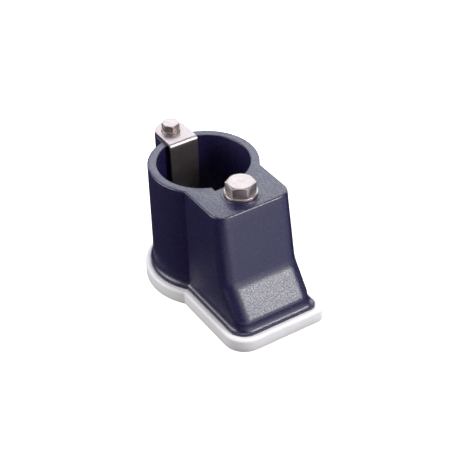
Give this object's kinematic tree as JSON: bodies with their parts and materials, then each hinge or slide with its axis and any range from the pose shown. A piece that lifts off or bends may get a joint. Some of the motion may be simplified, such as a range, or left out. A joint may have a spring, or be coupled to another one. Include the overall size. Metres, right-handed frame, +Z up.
{
  "type": "stanchion base",
  "caption": "Deck base with a round socket for a stanchion tube, a strap-backed wedge clamp worked by a hex bolt, a ramped foot and a white base pad.",
  "frame": {"origin": "on the socket's axis at the underside of the base pad", "axes": "+Z up along the socket, +X towards the ramped front block and its large bolt, +Y to the left of +X"},
  "size_m": [0.136, 0.0776, 0.089],
  "materials": {
    "black_moulding": "fine moulded grain, satin black with a blue cast",
    "white_pad": "smooth moulded white",
    "stainless_fixings": "bright stainless",
    "stainless_strap": "rolled stainless strip, lightly brushed",
    "stainless_plate": "dull stainless disc",
    "bronze": "cast bronze",
    "brass": "turned brass"
  },
  "bodies": {
    "base": {"socket_body": "black_moulding", "base_pad": "white_pad", "pad_screws": "stainless_fixings", "floor_plate": "stainless_plate", "clamp_washer": "stainless_fixings", "bolt_bush": "stainless_fixings", "strap_insert": "brass"},
    "clamp_screw": {"clamp_bolt": "stainless_fixings"},
    "nut": {"clamp_nut": "stainless_fixings"},
    "wedge": {"clamp_wedge": "bronze"},
    "strap": {"clamp_strap": "stainless_strap", "strap_washer": "stainless_fixings"},
    "strap_screw": {"strap_bolt": "stainless_fixings"}
  },
  "joints": [
    {"name": "wedge_slide", "type": "slide", "parent": "base", "child": "wedge", "axis": [-0.3162, 0, 0.9487], "range_m": [0, 0.01265]},
    {"name": "nut_climb", "type": "slide", "parent": "base", "child": "nut", "axis": [0, 0, 1], "range_m": [0, 0.01201]},
    {"name": "clamp_bolt_turn", "type": "hinge", "parent": "base", "child": "clamp_screw", "pos_m": [0.041, 0, 0.08], "axis": [0, 0, -1], "range_deg": [0, 2881]},
    {"name": "strap_lift", "type": "slide", "parent": "base", "child": "strap", "axis": [0, 0, 1], "range_m": [0, 0.01]},
    {"name": "strap_bolt_turn", "type": "hinge", "parent": "strap", "child": "strap_screw", "pos_m": [-0.038, 0, 0.08], "axis": [0, 0, 1], "range_deg": [0, 3601]}
  ],
  "couplings": [
    {"joint": "nut_climb", "follows": "wedge_slide", "ratio": 0.94868},
    {"joint": "clamp_bolt_turn", "follows": "wedge_slide", "rad_per_m": 3973.8},
    {"joint": "strap_bolt_turn", "follows": "strap_lift", "rad_per_m": 6283.2}
  ]
}
